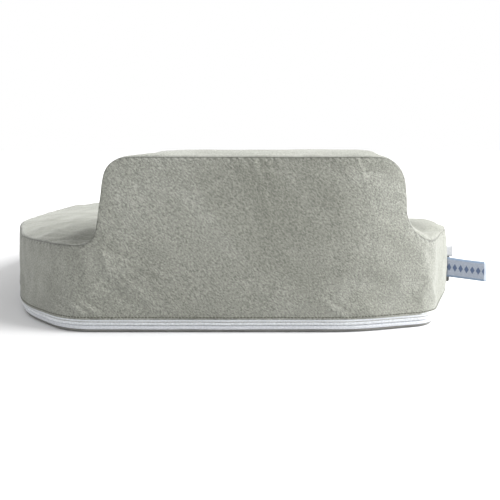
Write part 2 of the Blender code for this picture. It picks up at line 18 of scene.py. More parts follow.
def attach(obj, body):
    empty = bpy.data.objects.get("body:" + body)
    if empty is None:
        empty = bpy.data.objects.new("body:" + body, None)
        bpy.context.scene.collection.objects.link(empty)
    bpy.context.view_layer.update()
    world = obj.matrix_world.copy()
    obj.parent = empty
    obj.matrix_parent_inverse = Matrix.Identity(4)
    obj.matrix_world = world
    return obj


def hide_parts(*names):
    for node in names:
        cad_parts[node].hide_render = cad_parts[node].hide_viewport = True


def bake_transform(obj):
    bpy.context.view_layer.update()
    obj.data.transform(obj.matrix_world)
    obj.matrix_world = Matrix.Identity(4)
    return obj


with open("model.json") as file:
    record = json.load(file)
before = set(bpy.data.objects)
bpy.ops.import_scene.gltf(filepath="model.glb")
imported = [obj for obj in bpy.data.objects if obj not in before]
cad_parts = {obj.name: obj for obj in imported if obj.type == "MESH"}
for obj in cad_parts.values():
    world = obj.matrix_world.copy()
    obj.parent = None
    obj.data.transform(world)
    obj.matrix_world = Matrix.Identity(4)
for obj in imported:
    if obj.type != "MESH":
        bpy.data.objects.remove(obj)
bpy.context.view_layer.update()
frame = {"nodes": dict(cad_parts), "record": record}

MM = 0.001
ORIGIN_Y = 18.5

# The cushion's shape, as in the CAD. The outline's corners are (x, y, radius), from the middle of the front
# round the +X side to the middle of the opening.
HALF_OUTLINE = (
    *((0, -227.5, 0), (92, -226, 220), (225, -182, 150), (285, -128, 50)),  # front
    *((285, 116, 150), (262, 183, 30), (150, 224, 70), (86, 216, 30)),  # side and end
    *((139, 93, 180), (139, -70, 129), (0, -70, 0)),  # opening
)
SEAM_HEIGHT, ARMREST_HEIGHT = 73.4, 146.0
END_BULGE, END_LEAN = 2.0, 0.3
FRONT_FOOT_Y, FRONT_TOP_Y = -103.5, -93.5
REAR_FOOT_Y, REAR_TOP_Y = 159.0, 155.5
FRONT_FOOT_RADIUS, FRONT_TOP_RADIUS = 13.0, 19.0
REAR_FOOT_RADIUS, REAR_TOP_RADIUS = 30.0, 26.0
INNER_FRONT_Y, INNER_REAR_Y = -25.0, 158.0
ZIP_TOP, ZIP_INSET, ZIP_FOOT = 12.0, 2.8, 2.4
BOTTOM_INSET, BOTTOM_THICK = 5.5, 1.0
STRAP_Z, WEBBING_WIDE, WEBBING_THICK, STRAP_CLEAR, GAP = 31.0, 28.0, 1.5, 0.8, 0.4

# Ranges along the outline that hold its widest point, its end's seam, and the places on each side.
WIDEST_RANGE, END_RANGE = (100, 450), (450, 800)
BEFORE_WIDEST, AFTER_END = 200, 90
# How far the rounded end reaches on each side of its seam, and how far the bulge of its wall does.
END_BEFORE, END_AFTER, BULGE_REACH = 50, 45, 75

# The cover's mesh.
CELL = 6.0
ROW_SHARE, EDGE_SHARE = 0.866, 0.62  # height of a row of cells, and room left beside the edge, over a cell
ACROSS_PIECES = 19
CROWN, CROWN_POWER, CROWN_FADE = 3.0, 0.7, 30
COVER_THICK = 1.6
OUTER_HEM, OUTER_INSET, INNER_OUT = ZIP_TOP - 0.6, 0.3, 0.3
FOOT_FLARE, FLARE_TOP, FLARE_HIGH = 0.9, 24, 10
SEW_DISTANCE = 0.0009
HEM_STITCH, HEM_PITCH, HEM_BAR = 1.5, 2.8, (0.75, 0.5)

# The cloth that puffs the cover, in Blender's units, and the most that a point may move, in metres.
PUFF = {
    **{"quality": 5, "mass": 0.25, "tension_stiffness": 12, "compression_stiffness": 12},
    **{"shear_stiffness": 8, "bending_stiffness": 0.35, "shrink_min": -0.006},
    **{"vertex_group_mass": "sewn", "pin_stiffness": 1.0},
    **{"use_pressure": True, "uniform_pressure_force": 0.8},
}
PUFF_FRAMES = 18
SIDE_CAP, RISE_CAP = 0.001, 0.0015

# The cover's wrinkles, in millimetres and degrees.
SWELLS = ((38.0, 3.0, 0.6), (14.0, 8.0, 0.3))  # scale, seed and height
PULL_LINES = ((-18, 0.95), (-31, 0.75), (-44, 1.0), (-57, 0.6), (-70, 0.8))  # angle and share of the length
PULL_FOOT_Y, PULL_FOOT_Z, PULL_LONG = FRONT_FOOT_Y + 6, 66, 34
# Place along the armrest, length and depth.
TOP_CREASES = ((18.0, 16, 0.9), (27.0, 22, 1.1), (38.0, 14, 0.7), (113.0, 18, 1.0), (-52.0, 12, 0.6))
FOOT_CREASES, FOOT_CREASE_Z = (-131.0, -119.0, -108.0, 96.0), 20
LOBE_DOME = 5.0
SEAM_DEPTH, SEAM_PUCKER, PUCKER_SCALE, HEM_QUIET = -1.0, 0.3, 7.0, 0.25

# The zip's pieces, measured down the slope from its top edge.
TAPE_HALF, TAPE_STEP = 0.3, 3.0
UPPER_TAPE, LOWER_TAPE = (-1.2, 2.65), (6.4, 9.7)
UPPER_COIL, LOWER_COIL, COIL_PITCH, COIL_SUNK = 3.95, 5.05, 1.3, -0.35
COIL_BAR = (1.5, 1.12, 0.9)
ZIP_STITCHES, ZIP_STITCH_PITCH, ZIP_STITCH_OUT = (1.9, 8.0), 3.0, 0.22
ZIP_STITCH_BAR = (2.3, 0.4, 0.2)
RIPPLE_DOWN, RIPPLE_OUT = 0.25, 0.3

# The floor's glow, the key light and the camera, in metres and watts, with the lens in millimetres.
FLOOR_REACH, GLOW_FROM, GLOW_TO, GLOW = 60.0, 0.55, 1.3, 0.6
KEY_PLACE, KEY_TARGET, KEY_SIZE, KEY_POWER = (0.3, 1.78, 1.42), (0.05, 0.05, 0.05), (2.0, 1.4), 138
CAMERA_PLACE, SENSOR, LENS = (0.8621, 0.0070, 0.1510), 36, 50.976
CAMERA_SHIFT, CAMERA_SLOPE = -0.12, 0.0562147


# ---- paths, as in the CAD ----


class RoundedPath:
    """Straight lines joined by arcs, through corners given as (x, y, radius), measured along its length."""

    def __init__(self, corners):
        self.pieces = []
        self.length = 0.0
        here = Vector(corners[0][:2])
        way = Vector(corners[1][:2]) - here
        heading = math.atan2(way.y, way.x)
        for before, corner, after in zip(corners, corners[1:], corners[2:]):
            point = Vector(corner[:2])
            way_in = (point - Vector(before[:2])).normalized()
            way_out = (Vector(after[:2]) - point).normalized()
            turn = math.atan2(way_in.cross(way_out), way_in.dot(way_out))
            reach = corner[2] * math.tan(abs(turn) / 2)
            arc_start = point - way_in * reach
            self.add(here, heading, 0.0, (arc_start - here).length)
            self.add(arc_start, heading, math.copysign(1 / corner[2], turn), corner[2] * abs(turn))
            heading += turn
            here = point + way_out * reach
        self.add(here, heading, 0.0, (Vector(corners[-1][:2]) - here).length)

    def add(self, start, heading, curvature, length):
        self.pieces.append((self.length, start, heading, curvature, length))
        self.length += length

    def at(self, distance):
        """Point and heading at this distance from the start."""
        begins, start, heading, curvature, _ = [p for p in self.pieces if p[0] <= max(distance, 0.0)][-1]
        along = distance - begins
        if not curvature:
            return start + along * Vector((math.cos(heading), math.sin(heading))), heading
        angle = heading + curvature * along
        step = Vector((math.sin(angle) - math.sin(heading), math.cos(heading) - math.cos(angle)))
        return start + step / curvature, angle

    def find(self, reached, low, high):
        """The distance between low and high at which reached(point, heading) turns true."""
        for _ in range(50):
            middle = (low + high) / 2
            if reached(*self.at(middle)):
                high = middle
            else:
                low = middle
        return high


OUTLINE = RoundedPath(HALF_OUTLINE)
END_SEAM = OUTLINE.find(lambda _, heading: heading > math.pi, *END_RANGE)
WIDEST = OUTLINE.find(lambda _, heading: heading > math.pi / 2 - 0.001, *WIDEST_RANGE)


def outer_distance(y):
    return OUTLINE.find(lambda point, _: point.y > y, WIDEST - BEFORE_WIDEST, END_SEAM)


def inner_distance(y):
    return OUTLINE.find(lambda point, _: point.y < y, END_SEAM + AFTER_END, OUTLINE.length)


END_OUTER = END_SEAM - END_BEFORE
END_INNER = END_SEAM + END_AFTER
PARTNERS = (
    (0.0, OUTLINE.length),
    (outer_distance(FRONT_FOOT_Y), inner_distance(INNER_FRONT_Y)),
    (outer_distance(REAR_FOOT_Y), inner_distance(INNER_REAR_Y)),
    (END_OUTER, END_INNER),
)
FRONT_FOOT, REAR_FOOT = PARTNERS[1][0], PARTNERS[2][0]
SEAM = RoundedPath(
    (
        (0, SEAM_HEIGHT, 0),
        (FRONT_FOOT, SEAM_HEIGHT, FRONT_FOOT_RADIUS),
        (outer_distance(FRONT_TOP_Y), ARMREST_HEIGHT, FRONT_TOP_RADIUS),
        (outer_distance(REAR_TOP_Y), ARMREST_HEIGHT, REAR_TOP_RADIUS),
        (REAR_FOOT, SEAM_HEIGHT, REAR_FOOT_RADIUS),
        (END_OUTER, SEAM_HEIGHT, 0),
    )
)


def limited(value, low, high):
    return min(max(value, low), high)


def partner(distance):
    """The distance on the opening's wall that faces this one on the outer wall."""
    for (outer_a, inner_a), (outer_b, inner_b) in zip(PARTNERS, PARTNERS[1:]):
        if distance <= outer_b:
            break
    return inner_a + (inner_b - inner_a) * (distance - outer_a) / (outer_b - outer_a)


def end_share(distance):
    """1 at the end's seam, easing to 0 away from it."""
    reach = limited(1 - abs(distance - END_SEAM) / BULGE_REACH, 0, 1)
    return reach * reach * (3 - 2 * reach)


def edge(distance, inset, z):
    """Point of the wall at this distance and height, moved into the cushion by inset."""
    point, heading = OUTLINE.at(distance)
    outward = Vector((math.sin(heading), -math.cos(heading)))
    share = limited((z - ZIP_TOP) / (SEAM_HEIGHT - ZIP_TOP), 0, 1)
    bulge = END_LEAN * share + END_BULGE * 4 * share * (1 - share)
    place = point + outward * (bulge * end_share(distance) - inset)
    return Vector((place.x, place.y, z))


def across(distance, inset, z):
    """Points from the outer wall to the opening, at one height. Behind the armrest they bow to the end."""
    outer, inner = edge(distance, inset, z), edge(partner(distance), inset, z)
    last_outer, last_inner = edge(END_OUTER, inset, z), edge(END_INNER, inset, z)
    bow = limited((distance - REAR_FOOT) / (END_OUTER - REAR_FOOT), 0, 1)
    points = []
    for i in range(ACROSS_PIECES + 1):
        share = i / ACROSS_PIECES
        end = edge(END_OUTER + (END_INNER - END_OUTER) * share, inset, z)
        points.append(outer.lerp(inner, share) + (end - last_outer.lerp(last_inner, share)) * bow)
    return points


def zip_place(distance, down, out):
    """Point on the zip's slope: down from its top edge, and out of its face."""
    length = math.hypot(ZIP_INSET, ZIP_TOP - ZIP_FOOT)
    way = (ZIP_INSET / length, (ZIP_TOP - ZIP_FOOT) / length)
    return edge(distance, way[0] * down - way[1] * out, ZIP_TOP - way[1] * down - way[0] * out)


# The straps leave the end seams at their hinges' places.
HINGE = next(j["pos_m"] for j in frame["record"]["behaviour"]["joints"] if j["name"] == "buckle_side_swing")
STRAP_Y = HINGE[1] / MM + ORIGIN_Y
SEAM_PLACE = Vector((HINGE[0] / MM, STRAP_Y - STRAP_CLEAR - WEBBING_THICK - GAP / 2, STRAP_Z))


def row_place(point):
    return Vector((point[0], point[1] - ORIGIN_Y, point[2])) * MM


def flipped(points):
    return [Vector((-point[0], point[1], point[2])) for point in points]


def both_sides(rows):
    """Rows of the +X half, which start on the middle plane, with their mirror images before them."""
    return [flipped(row) for row in reversed(rows[1:])] + rows


def evenly(length, step):
    count = max(1, round(length / step))
    return [length * i / count for i in range(count + 1)]


# ---- materials ----


class Finish:
    """A node material. Its textures work in object coordinates, in metres."""

    def __init__(self, name, roughness, **sockets):
        self.material = bpy.data.materials.new(name)
        self.material.use_nodes = True
        self.tree = self.material.node_tree
        self.shader = self.tree.nodes["Principled BSDF"]
        self.shader.inputs["Roughness"].default_value = roughness
        for socket, value in sockets.items():
            self.shader.inputs[socket.replace("_", " ")].default_value = value
        self.place = self.tree.nodes.new("ShaderNodeTexCoord").outputs["Object"]
        self.bump = None

    def node(self, kind, inputs=(), **settings):
        made = self.tree.nodes.new(kind)
        for key, value in settings.items():
            setattr(made, key, value)
        for socket, value in dict(inputs).items():
            if isinstance(value, bpy.types.NodeSocket):
                self.tree.links.new(value, made.inputs[socket])
            else:
                made.inputs[socket].default_value = value
        return made

    def stretched(self, lengths, turn=0.0):
        """Coordinates that draw a texture out by these lengths along X, Y and Z turned about X."""
        inputs = {"Vector": self.place, "Scale": lengths, "Rotation": (math.radians(turn), 0, 0)}
        return self.node("ShaderNodeMapping", inputs, vector_type="TEXTURE").outputs["Vector"]

    def noise(self, scale, detail=2.0, rough=0.5, place=None, twist=0.0):
        inputs = {"Scale": scale, "Detail": detail, "Roughness": rough, "Distortion": twist}
        inputs["Vector"] = place or self.place
        return self.node("ShaderNodeTexNoise", inputs).outputs["Fac"]

    def math(self, operation, a, b=0.0):
        return self.node("ShaderNodeMath", {0: a, 1: b}, operation=operation).outputs["Value"]

    def ramp(self, factor, stops):
        made = self.node("ShaderNodeValToRGB", {"Fac": factor})
        ramp = made.color_ramp
        ramp.elements[0].position, ramp.elements[0].color = stops[0][0], (*stops[0][1], 1)
        ramp.elements[1].position, ramp.elements[1].color = stops[-1][0], (*stops[-1][1], 1)
        for position, colour in stops[1:-1]:
            ramp.elements.new(position).color = (*colour, 1)
        return made.outputs["Color"]

    def mix(self, factor, a, b, blend="MIX"):
        a, b = (value if isinstance(value, bpy.types.NodeSocket) else (*value, 1) for value in (a, b))
        made = self.node("ShaderNodeMix", {0: factor, 6: a, 7: b}, data_type="RGBA", blend_type=blend)
        return made.outputs[2]

    def colour(self, output):
        self.tree.links.new(output, self.shader.inputs["Base Color"])

    def relief(self, height, distance, strength=1.0):
        inputs = {"Height": height, "Distance": distance, "Strength": strength}
        if self.bump:
            inputs["Normal"] = self.bump
        self.bump = self.node("ShaderNodeBump", inputs).outputs["Normal"]
        self.tree.links.new(self.bump, self.shader.inputs["Normal"])


PLUSH = (0.172, 0.176, 0.152), (0.199, 0.203, 0.178), (0.230, 0.235, 0.209)
# Darker and lighter shade of each of the other finishes.
LINING = (0.13, 0.13, 0.12), (0.18, 0.18, 0.165)
FOAM = (0.62, 0.58, 0.42), (0.88, 0.85, 0.70)
TAPE = (0.47, 0.49, 0.52), (0.62, 0.64, 0.67)
COIL = (0.58, 0.60, 0.62), (0.74, 0.76, 0.78)
METAL, METAL_SOCKETS = ((0.70, 0.71, 0.73), (0.82, 0.83, 0.85)), {"Metallic": 0.35, "Coat_Weight": 0.4}
PLASTIC = (0.018, 0.019, 0.018), (0.030, 0.032, 0.030)
WEBBING, WEBBING_DUST = ((0.014, 0.015, 0.012), (0.062, 0.064, 0.054)), (0.075, 0.076, 0.066)
LABEL, LABEL_ROW = ((0.160, 0.185, 0.225), (0.230, 0.255, 0.300)), (0.015, 0.040, 0.100)
# The label's fold gets a painted highlight.
LABEL_BORDER, LABEL_FOLD_HIGHLIGHT = (0.080, 0.150, 0.240), (0.50, 0.55, 0.62)
CARE = (0.46, 0.47, 0.49), (0.56, 0.57, 0.59)
THREAD = (0.42, 0.43, 0.43), (0.62, 0.63, 0.63)
DARK_THREAD = (0.06, 0.06, 0.05), (0.16, 0.16, 0.14)
# Near-black thread for the hem's stitches, partly painted shade for the hem's shadow line.
HEM_THREAD_AND_SHADE = (0.03, 0.03, 0.02), (0.08, 0.08, 0.06)
FLOOR = (0.64, 0.64, 0.645), (0.66, 0.66, 0.665)
# How the weave of the tapes and of the labels draws its noise out.
RIBS, SATIN = ((2.5, 2.5, 1),), ((3, 3, 1),)


def grey_stops(low, dark, high, light):
    return (low, (dark,) * 3), (high, (light,) * 3)


def stops(shades, low=0.3, high=0.7):
    return (low, shades[0]), (high, shades[1])


def plush_finish():
    """Short-pile plush: brushed patches, clumps of pile and fine fibre ends, with a soft sheen.
    Its colour also carries painted shade by the seams, in the folds and in the hollow, and painted
    highlights along the pull lines.
    """
    made = Finish("plush", 1.0, Sheen_Weight=0.35, Sheen_Roughness=0.45, Specular_IOR_Level=0.1)
    made.shader.inputs["Sheen Tint"].default_value = (0.95, 0.96, 0.92, 1)
    patches = made.noise(17, 3, 0.55, made.stretched((1, 1, 1.7), 40), 0.8)
    clumps = made.noise(130, 3, 0.6, made.stretched((1, 1, 2.2), 42), 0.5)
    fibres = made.noise(1080, 3, 0.8, made.stretched((1, 1, 2.2), 48))
    brushed = made.ramp(patches, tuple(zip((0.28, 0.50, 0.74), PLUSH)))
    clumped = made.mix(0.25, brushed, made.ramp(clumps, grey_stops(0.3, 0.84, 0.7, 1.14)), "MULTIPLY")
    tufted = made.mix(1.0, clumped, made.ramp(fibres, grey_stops(0.34, 0.53, 0.66, 1.47)), "MULTIPLY")
    # Painted shade and painted highlights from the cover's folds and seams, with mottling of the pile.
    nap_and_shading = made.node("ShaderNodeAttribute", attribute_name="nap_and_shading").outputs["Fac"]
    with_pile_and_shading = made.mix(1.0, tufted, made.ramp(nap_and_shading, grey_stops(0.0, 1.32, 1.0, 0.68)), "MULTIPLY")
    # Painted shade along the seams' pinched grooves.
    seam = made.node("ShaderNodeAttribute", attribute_name="seam").outputs["Fac"]
    made.colour(made.mix(1.0, with_pile_and_shading, made.ramp(seam, grey_stops(0.45, 1.0, 0.95, 0.42)), "MULTIPLY"))
    made.relief(clumps, 0.0005, 0.4)
    made.relief(fibres, 0.0006, 0.9)
    return made.material


def lining_finish():
    made = Finish("lining", 0.9, Sheen_Weight=0.2)
    weave = made.node("ShaderNodeTexChecker", {"Vector": made.place, "Scale": 1400.0}).outputs["Fac"]
    made.colour(made.ramp(made.noise(60, 3), stops(LINING)))
    made.relief(weave, 0.0002, 0.5)
    return made.material


def foam_finish():
    made = Finish("foam", 0.95)
    cells = made.node("ShaderNodeTexVoronoi", {"Vector": made.place, "Scale": 600.0}).outputs["Distance"]
    made.colour(made.ramp(cells, stops(FOAM, 0.1)))
    made.relief(cells, 0.0006, 0.8)
    return made.material


def plain_finish(name, roughness, colours, texture, stretch, relief, sockets):
    """A finish of one noise, given by scale, detail and roughness, that colours it and stands in relief."""
    made = Finish(name, roughness, **sockets)
    grain = made.noise(*texture, made.stretched(*stretch) if stretch else None)
    made.colour(made.ramp(grain, colours))
    if relief:
        made.relief(grain, *relief)
    return made.material


def plastic_finish():
    """Moulded plastic with a fine spark-eroded grain."""
    made = Finish("buckle", 0.46, Specular_IOR_Level=0.4)
    grain = made.noise(2200, 2, 0.6)
    made.colour(made.ramp(made.noise(90, 3), stops(PLASTIC)))
    made.relief(grain, 0.0001, 0.5)
    return made.material


def webbing_finish():
    """Ribbed webbing: rows of weave along its length, crossed by a finer pitch."""
    made = Finish("webbing", 0.85, Sheen_Weight=0.1)

    def bands(scale, direction):
        inputs = {"Vector": made.place, "Scale": scale}
        wave = {"wave_type": "BANDS", "wave_profile": "SIN", "bands_direction": direction}
        return made.node("ShaderNodeTexWave", inputs, **wave).outputs["Fac"]

    weave = made.math("MULTIPLY", bands(95.0, "Z"), bands(190.0, "X"))
    dust = made.noise(45, 3)
    thread = made.ramp(weave, stops(WEBBING, 0.0, 1.0))
    made.colour(made.mix(made.math("MULTIPLY", dust, 0.3), thread, WEBBING_DUST))
    made.relief(weave, 0.0004, 0.8)
    return made.material


def label_finish():
    """Woven label, by its own UVs: a blue-grey ground, selvedges and a plain row of lozenges,
    with a painted highlight along its fold.
    """
    made = Finish("label", 0.65, Sheen_Weight=0.3)
    uv = made.node("ShaderNodeSeparateXYZ", {"Vector": made.node("ShaderNodeUVMap").outputs["UV"]})
    along, up = uv.outputs["X"], uv.outputs["Y"]

    def from_half(value):
        return made.math("ABSOLUTE", made.math("SUBTRACT", value, 0.5))

    from_middle = from_half(up)
    cell = from_half(made.math("FRACT", made.math("MULTIPLY", along, 14.0)))
    lozenge = made.math("LESS_THAN", made.math("ADD", cell, made.math("MULTIPLY", from_middle, 2.0)), 0.40)
    border = made.math("GREATER_THAN", from_middle, 0.40)
    threads = made.noise(1800, 1, 0.5, made.stretched(*SATIN))
    ground = made.ramp(threads, stops(LABEL))
    with_row = made.mix(made.math("MULTIPLY", lozenge, 0.9), ground, LABEL_ROW)
    bordered = made.mix(made.math("MULTIPLY", border, 0.6), with_row, LABEL_BORDER)
    # A painted highlight along the fold.
    fold = made.math("LESS_THAN", from_half(along), 0.035)
    made.colour(made.mix(made.math("MULTIPLY", fold, 0.7), bordered, LABEL_FOLD_HIGHLIGHT))
    made.relief(threads, 0.0002, 0.6)
    return made.material


SPUN, THREAD_NOISE, THREAD_RELIEF = ((1, 1, 2.5), 30), (2600, 1, 0.5), (0.0001, 0.6)
PLAIN_FINISHES = {
    "zip_tape": (0.8, stops(TAPE), (1500, 1, 0.5), RIBS, (0.0003, 0.6), {"Sheen_Weight": 0.25}),
    "zip_coil": (0.42, stops(COIL), (500, 2, 0.5), None, None, {"Coat_Weight": 0.15}),
    "zip_metal": (0.34, stops(METAL, 0.3, 0.62), (420, 4, 0.6), None, (0.0001, 0.25), METAL_SOCKETS),
    "care_label": (0.5, stops(CARE), (1600, 1, 0.5), SATIN, (0.0001, 0.5), {"Sheen_Weight": 0.3}),
    "thread": (0.7, stops(THREAD, 0.35, 0.65), THREAD_NOISE, SPUN, THREAD_RELIEF, {}),
    "dark_thread": (0.7, stops(DARK_THREAD, 0.35, 0.65), THREAD_NOISE, SPUN, THREAD_RELIEF, {}),
    # Its near-black thread is partly painted shade for the hem's shadow line.
    "plush_thread": (0.7, stops(HEM_THREAD_AND_SHADE, 0.35, 0.65), THREAD_NOISE, SPUN, THREAD_RELIEF, {}),
}
MATERIALS = {name: plain_finish(name, *settings) for name, settings in PLAIN_FINISHES.items()}
MATERIALS |= {"plush": plush_finish(), "lining": lining_finish(), "foam": foam_finish()}
MATERIALS |= {"buckle": plastic_finish(), "webbing": webbing_finish(), "label": label_finish()}


# ---- meshes ----


def link(name, data):
    piece = bpy.data.objects.new(name, data)
    bpy.context.scene.collection.objects.link(piece)
    return piece


def add_mesh(name, points, faces, material, angle=40):
    """A piece from points in the cushion's frame."""
    mesh = bpy.data.meshes.new(name)
    mesh.from_pydata([row_place(point) for point in points], [], faces)
    mesh.materials.append(MATERIALS[material])
    mesh.shade_smooth()
    mesh.set_sharp_from_angle(angle=math.radians(angle))
    return link(name, mesh)


def outward(piece, join=0.0, facing=0):
    """Turns a closed piece's faces outwards. An open piece's points within join of each other are made one,
    and its faces turned up for a facing of 1, or down for -1."""
    work = bmesh.new()
    work.from_mesh(piece.data)
    if join:
        bmesh.ops.remove_doubles(work, verts=work.verts, dist=join)
    bmesh.ops.recalc_face_normals(work, faces=work.faces)
    work.normal_update()
    if facing * sum(face.normal.z * face.calc_area() for face in work.faces) < 0:
        bmesh.ops.reverse_faces(work, faces=work.faces)
    work.to_mesh(piece.data)
    work.free()
    return piece


def thicken(piece, thick, offset):
    shell = piece.modifiers.new("thick", "SOLIDIFY")
    shell.thickness, shell.offset = thick * MM, offset
    apply_modifiers(piece)


def apply_modifiers(piece):
    """Fixes the piece's modifiers into its mesh."""
    graph = bpy.context.evaluated_depsgraph_get()
    graph.update()
    done = bpy.data.meshes.new_from_object(piece.evaluated_get(graph))
    piece.modifiers.clear()
    piece.data = done


def sweep_mesh(sections):
    """Points and faces through closed sections with the same number of points, capped at both ends."""
    size = len(sections[0])
    points = [point for section in sections for point in section]
    faces = [tuple(range(size)), tuple(range(len(points) - size, len(points)))]
    for i in range(len(sections) - 1):
        for j in range(size):
            k = (j + 1) % size
            faces.append((i * size + j, i * size + k, (i + 1) * size + k, (i + 1) * size + j))
    return points, faces


def grid_faces(rows, columns):
    """Faces between the points of a grid that are listed row by row."""
    corners = [i * columns + j for i in range(rows - 1) for j in range(columns - 1)]
    return [(corner, corner + 1, corner + columns + 1, corner + columns) for corner in corners]


# ---- the cover ----


def crown(share, distance):
    """How far the top stands above its seams before it is puffed."""
    middle = math.sin(math.pi * share) ** CROWN_POWER
    return CROWN * middle * limited((END_OUTER - distance) / CROWN_FADE, 0, 1)


def top_row(along):
    """Points across the cover's top, from seam to seam, at this length along the seam's side view."""
    (distance, z), slope = SEAM.at(along)
    middle = across(distance, 0, z)
    ahead = across(min(distance + 1, END_OUTER), 0, z)
    behind = across(max(distance - 1, 0), 0, z)
    row = []
    for i, (point, a, b) in enumerate(zip(middle, ahead, behind)):
        forward = (a - b).normalized()
        normal = Vector((0, 0, math.cos(slope))) - forward * math.sin(slope)
        row.append(point + normal * crown(i / ACROSS_PIECES, distance))
    if along == 0:
        row = [Vector((0, point.y, point.z)) for point in row]
    return row


def filled_outline(loop):
    """Triangles of about a cell inside a closed loop of flat points: points, the loop's first, and faces."""
    around = np.array(loop)
    tree = kdtree.KDTree(len(loop))
    for i, point in enumerate(loop):
        tree.insert((point[0], point[1], 0), i)
    tree.balance()
    low, high = around.min(0), around.max(0)
    ends = np.roll(around, -1, 0)
    inside = []
    for j in range(int((high[1] - low[1]) / (CELL * ROW_SHARE)) + 1):
        v = low[1] + (j + 0.5) * CELL * ROW_SHARE
        for i in range(int((high[0] - low[0]) / CELL) + 2):
            u = low[0] + (i + 0.5 * (j % 2)) * CELL
            crosses = (around[:, 1] > v) != (ends[:, 1] > v)
            rise = np.where(crosses, ends[:, 1] - around[:, 1], 1.0)
            at = around[:, 0] + (v - around[:, 1]) * (ends[:, 0] - around[:, 0]) / rise
            if np.count_nonzero(crosses & (at > u)) % 2 and tree.find((u, v, 0))[2] > CELL * EDGE_SHARE:
                inside.append((u, v))
    flat = [Vector(point) for point in loop] + [Vector(point) for point in inside]
    points, _, faces, *_ = delaunay_2d_cdt(flat, [], [list(range(len(loop)))], 1, 1e-5)
    return [(point.x, point.y) for point in points], faces


def half_wall(distances, top_heights, foot, place):
    """A wall's half: its points, given by place(distance, z), and its faces.
    The top edge passes through distances and top_heights, the foot is level."""
    first, last = distances[0], distances[-1]
    turn = 1 if last > first else -1
    loop = [(first + turn * d, foot) for d in evenly(abs(last - first), CELL)]
    for z in evenly(top_heights[-1] - foot, CELL)[1:-1]:
        loop.append((last, foot + z))
    loop += list(zip(reversed(distances), reversed(top_heights)))
    loop += [(first, foot + z) for z in reversed(evenly(top_heights[0] - foot, CELL)[1:-1])]
    flat, faces = filled_outline([(turn * u, v) for u, v in loop])
    return [place(turn * u, v) for u, v in flat], faces


def make_cover_shell():
    """The cover's top and walls in the cushion's frame: points, faces and the number of each face's panel.
    Its seams are where its panels meet."""
    stations = evenly(SEAM.length, CELL)
    rows = [top_row(along) for along in stations]
    spots = [SEAM.at(along)[0] for along in stations]
    share_step = (END_INNER - END_OUTER) / ACROSS_PIECES
    steps = [share_step * i for i in range(1, ACROSS_PIECES + 1)]
    outer_steps = [END_OUTER + step for step in steps if END_OUTER + step < END_SEAM + 0.1]
    inner_steps = [END_INNER - step for step in steps if END_INNER - step > END_SEAM - 0.1]

    def outer_place(distance, z):
        return edge(distance, OUTER_INSET - FOOT_FLARE * limited((FLARE_TOP - z) / FLARE_HIGH, 0, 1), z)

    def inner_place(distance, z):
        return edge(distance, max(ZIP_TOP - z, 0) * ZIP_INSET / (ZIP_TOP - ZIP_FOOT) - INNER_OUT, z)

    heights = [spot.y for spot in spots]
    walls = []
    for starts, more, foot, place in (
        ([spot.x for spot in spots], outer_steps, OUTER_HEM, outer_place),
        ([partner(spot.x) for spot in spots], inner_steps, ZIP_FOOT, inner_place),
    ):
        walls.append(half_wall(starts + more, heights + [SEAM_HEIGHT] * len(more), foot, place))
    points = [point for row in rows for point in row]
    faces = grid_faces(len(rows), ACROSS_PIECES + 1)
    panels = [0] * len(faces)
    for number, (some, cells) in enumerate(walls, 1):
        start = len(points)
        points += some
        faces += [tuple(start + index for index in cell) for cell in cells]
        panels += [number] * len(cells)
    count = len(points)
    points += flipped(points)
    faces += [tuple(count + index for index in reversed(face)) for face in faces]
    return points, faces, panels * 2


def join_seams(points, faces, panels):
    """The shell as a Blender object, with its panels sewn together."""
    mesh = bpy.data.meshes.new("cover")
    mesh.from_pydata([row_place(point) for point in points], [], faces)
    layer = mesh.attributes.new("panel", "INT", "FACE")
    layer.data.foreach_set("value", panels)
    return outward(link("cover", mesh), SEW_DISTANCE, 1)


def read(items, name, size=1):
    """One value, or rows of size values, for each of the items."""
    found = np.empty(len(items) * size)
    items.foreach_get(name, found)
    return found if size == 1 else found.reshape(-1, size)


def seam_data(mesh):
    """The edges of the seams and the edges of the hems."""
    panel = read(mesh.attributes["panel"].data, "value")
    beside = {}
    for polygon in mesh.polygons:
        for key in polygon.edge_keys:
            beside.setdefault(key, []).append(panel[polygon.index])
    seams = [key for key, found in beside.items() if len(set(found)) > 1]
    hems = [key for key, found in beside.items() if len(found) == 1]
    return seams, hems


def write(items, name, values):
    items.foreach_set(name, np.ascontiguousarray(values, dtype=np.float32).ravel())


def set_points(mesh, points):
    write(mesh.vertices, "co", points)
    mesh.update()


def puff(piece, held):
    """Inflates the cover between its seams with Blender's cloth, and caps how far a point may move."""
    before = read(piece.data.vertices, "co", 3)
    group = piece.vertex_groups.new(name="sewn")
    group.add(sorted(held), 1.0, "REPLACE")
    cloth = piece.modifiers.new("cloth", "CLOTH")
    for setting, value in PUFF.items():
        setattr(cloth.settings, setting, value)
    cloth.settings.effector_weights.gravity = 0.0
    cloth.collision_settings.use_collision = False
    cloth.collision_settings.use_self_collision = False
    scene = bpy.context.scene
    for step in range(1, PUFF_FRAMES + 1):
        scene.frame_set(step)
    apply_modifiers(piece)
    piece.vertex_groups.clear()
    scene.frame_set(1)
    moved = read(piece.data.vertices, "co", 3) - before
    far = np.linalg.norm(moved, axis=1, keepdims=True)
    raised = np.abs(moved[:, 2:]) / np.maximum(far, 1e-9)
    cap = SIDE_CAP + RISE_CAP * raised
    moved *= np.where(far > cap, cap / np.maximum(far, 1e-9), 1.0)
    set_points(piece.data, before + moved)


